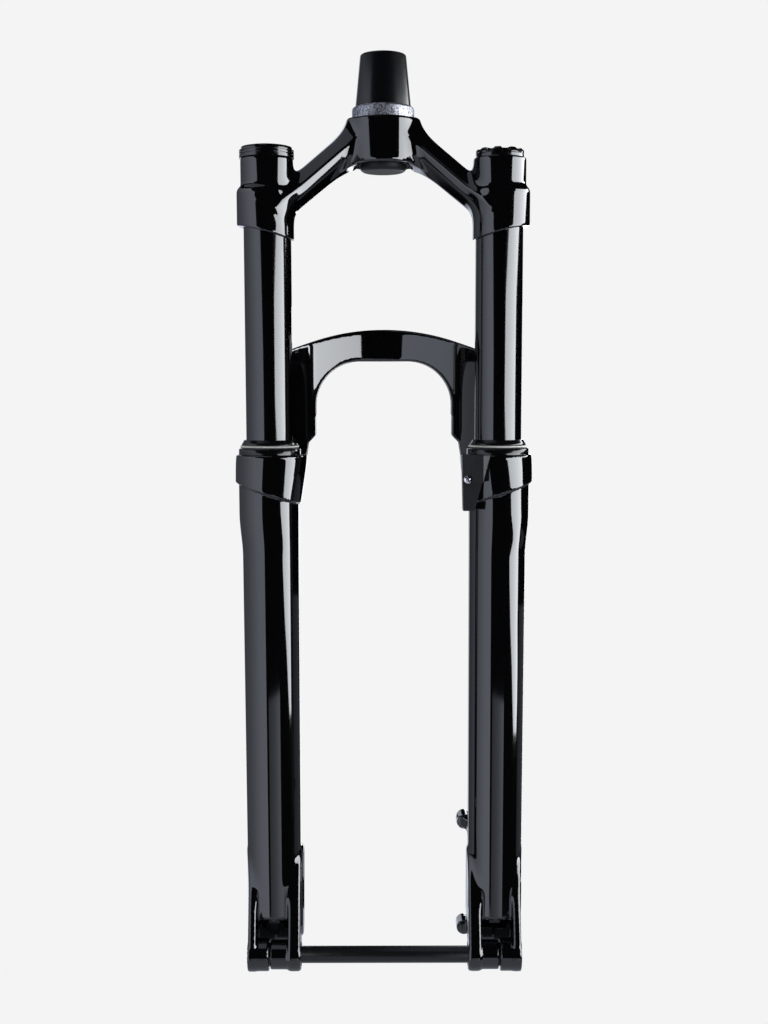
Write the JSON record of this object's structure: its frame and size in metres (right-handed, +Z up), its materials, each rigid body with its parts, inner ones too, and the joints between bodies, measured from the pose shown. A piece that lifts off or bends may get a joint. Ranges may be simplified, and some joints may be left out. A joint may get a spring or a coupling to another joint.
{
  "type": "suspension_fork",
  "caption": "Single-crown bicycle suspension fork with tapered steerer, gloss black stanchions and legs, rear arch, thru axle and post mount for a disc brake",
  "frame": {"origin": "on the steerer axis at the crown race seat", "axes": "+Z up along the steerer, +Y to the back of the fork, +X to the air spring leg, which is the rider's left"},
  "size_m": [0.1904, 0.0905, 0.5907],
  "materials": {
    "gloss_black": "gloss",
    "gloss_black_tube": "gloss",
    "satin_black": "satin",
    "cap_black": "gloss",
    "axle_black": "satin",
    "black_plastic": "satin",
    "seal_rubber": "satin",
    "steel": "polished",
    "dark_steel": "satin",
    "bare_aluminium": "machined",
    "brass": "machined",
    "bushing": "matte",
    "foam": "matte"
  },
  "bodies": {
    "upper": {"steerer_tube": "satin_black", "crown": "gloss_black", "steerer_plug": "black_plastic", "damper_stanchion": "gloss_black_tube", "air_stanchion": "gloss_black_tube", "damper_top_cap": "cap_black", "compression_valve": "bare_aluminium", "air_top_cap": "cap_black", "air_valve": "brass", "damper_rod_guide": "bare_aluminium", "air_seal_head": "bare_aluminium", "retaining_rings": "steel"},
    "lowers": {"lower_casting": "gloss_black", "wiper_seals": "seal_rubber", "seal_springs": "steel", "foam_rings": "foam", "upper_bushings": "bushing", "lower_bushings": "bushing", "damper_rod": "steel", "rebound_piston": "bare_aluminium", "damper_foot_bolt": "dark_steel", "air_rod": "steel", "air_piston": "black_plastic", "top_out_bumper": "seal_rubber", "bottom_out_bumper": "seal_rubber", "air_foot_nut": "dark_steel", "crush_washers": "bare_aluminium", "hose_guide": "black_plastic", "hose_guide_screw": "steel", "axle_insert": "bare_aluminium"},
    "compression_knob": {"compression_knob": "cap_black"},
    "rebound_knob": {"rebound_knob": "black_plastic"},
    "thru_axle": {"thru_axle": "axle_black"},
    "valve_cap": {"valve_cap": "cap_black"}
  },
  "joints": [
    {"name": "fork_travel", "type": "slide", "parent": "upper", "child": "lowers", "axis": [0, 0, 1], "range_m": [0, 0.12], "stiffness_N_per_m": 5000, "springref_m": -0.02},
    {"name": "compression_turn", "type": "hinge", "parent": "upper", "child": "compression_knob", "pos_m": [-0.073, -0.025, -0.023], "axis": [0, 0, 1], "range_deg": [0, 135]},
    {"name": "rebound_turn", "type": "hinge", "parent": "lowers", "child": "rebound_knob", "pos_m": [-0.073, -0.025, -0.527], "axis": [0, 0, 1], "range_deg": [0, 324]},
    {"name": "axle_pull", "type": "slide", "parent": "lowers", "child": "thru_axle", "axis": [-1, 0, 0], "range_m": [0, 0.185]},
    {"name": "valve_cap_lift", "type": "slide", "parent": "upper", "child": "valve_cap", "axis": [0, 0, 1], "range_m": [0, 0.03]}
  ]
}
